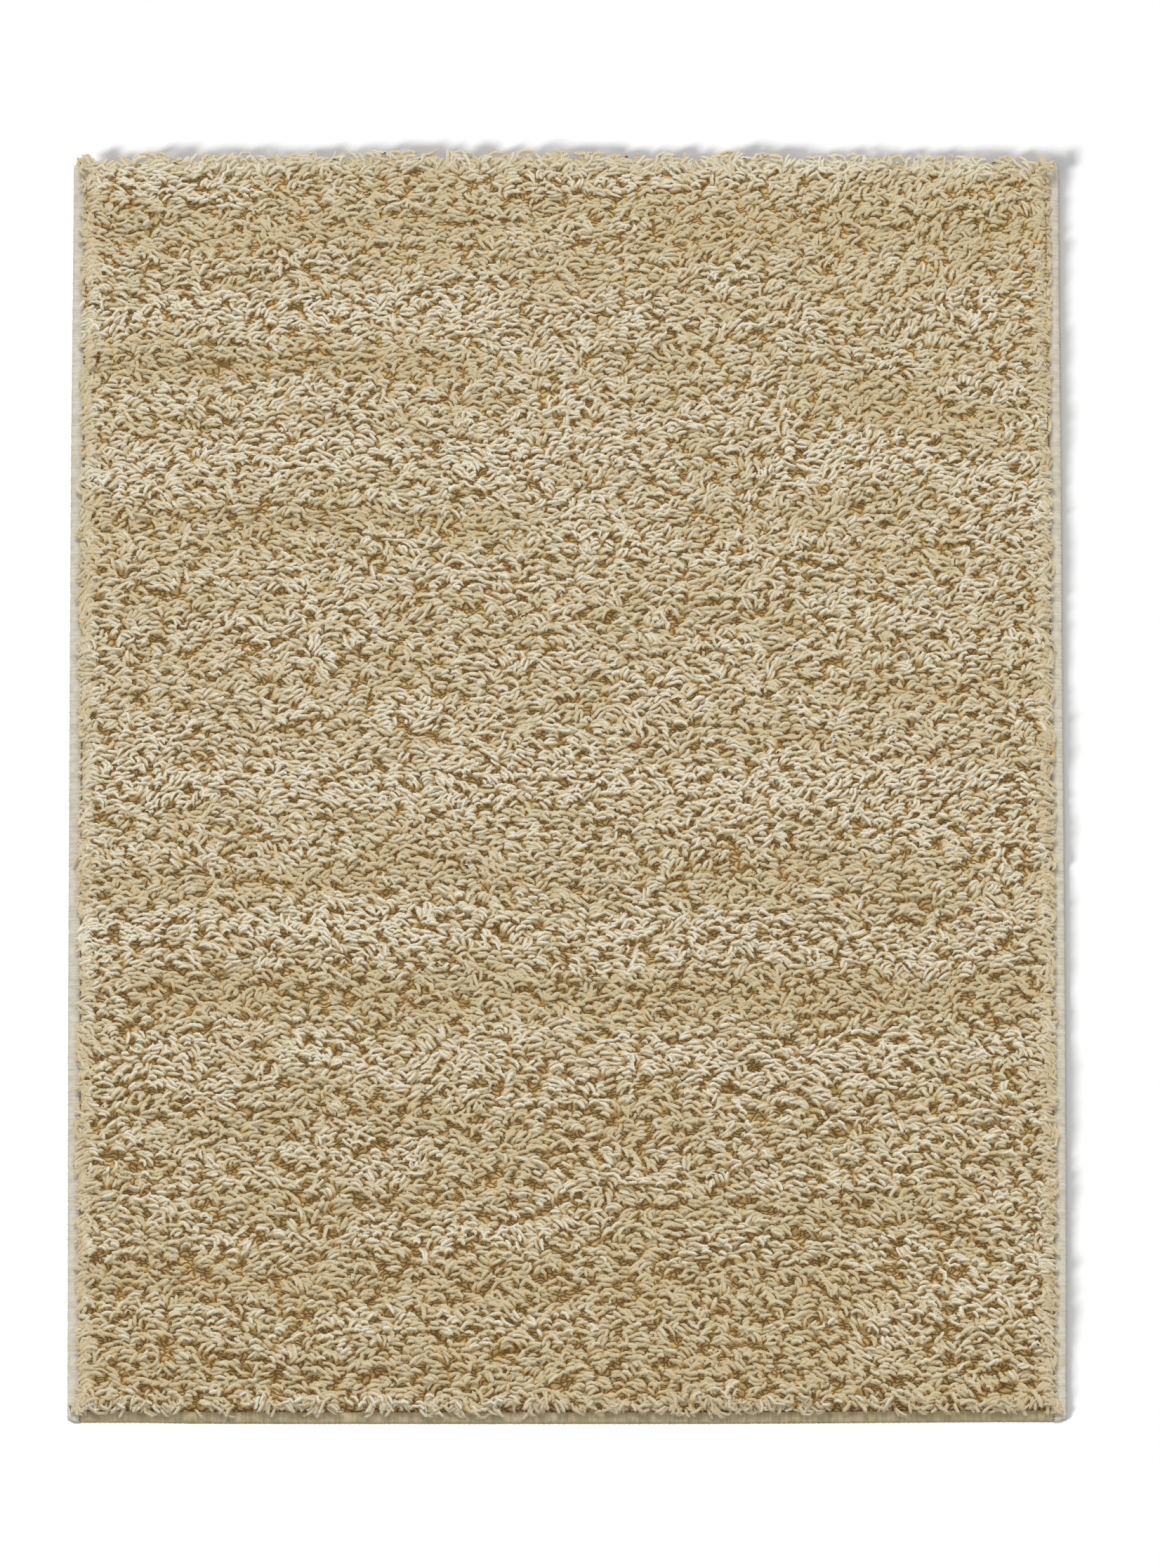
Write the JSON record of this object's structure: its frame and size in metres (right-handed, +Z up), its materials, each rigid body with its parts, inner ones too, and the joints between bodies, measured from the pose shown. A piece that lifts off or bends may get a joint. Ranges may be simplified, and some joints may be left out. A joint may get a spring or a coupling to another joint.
{
  "type": "shag rug",
  "caption": "Rectangular shag rug with a lumpy pile of long yarn, overlocked long edges and bound short edges, for laying flat on a floor.",
  "frame": {"origin": "on the floor under the middle of the rug", "axes": "+X across the rug's width, +Y along its length towards the far short edge, +Z up out of the floor"},
  "size_m": [1.2, 1.7, 0.0353],
  "materials": {
    "pile_yarn": "long soft yarn, cream at its tips and ochre between the strands",
    "edging_thread": "close overlocked thread, pale cream",
    "binding_cloth": "tan woven strip, matt"
  },
  "bodies": {
    "root": {"pile": "pile_yarn", "edging_left": "edging_thread", "edging_right": "edging_thread", "binding_front": "binding_cloth", "binding_back": "binding_cloth"}
  },
  "joints": []
}
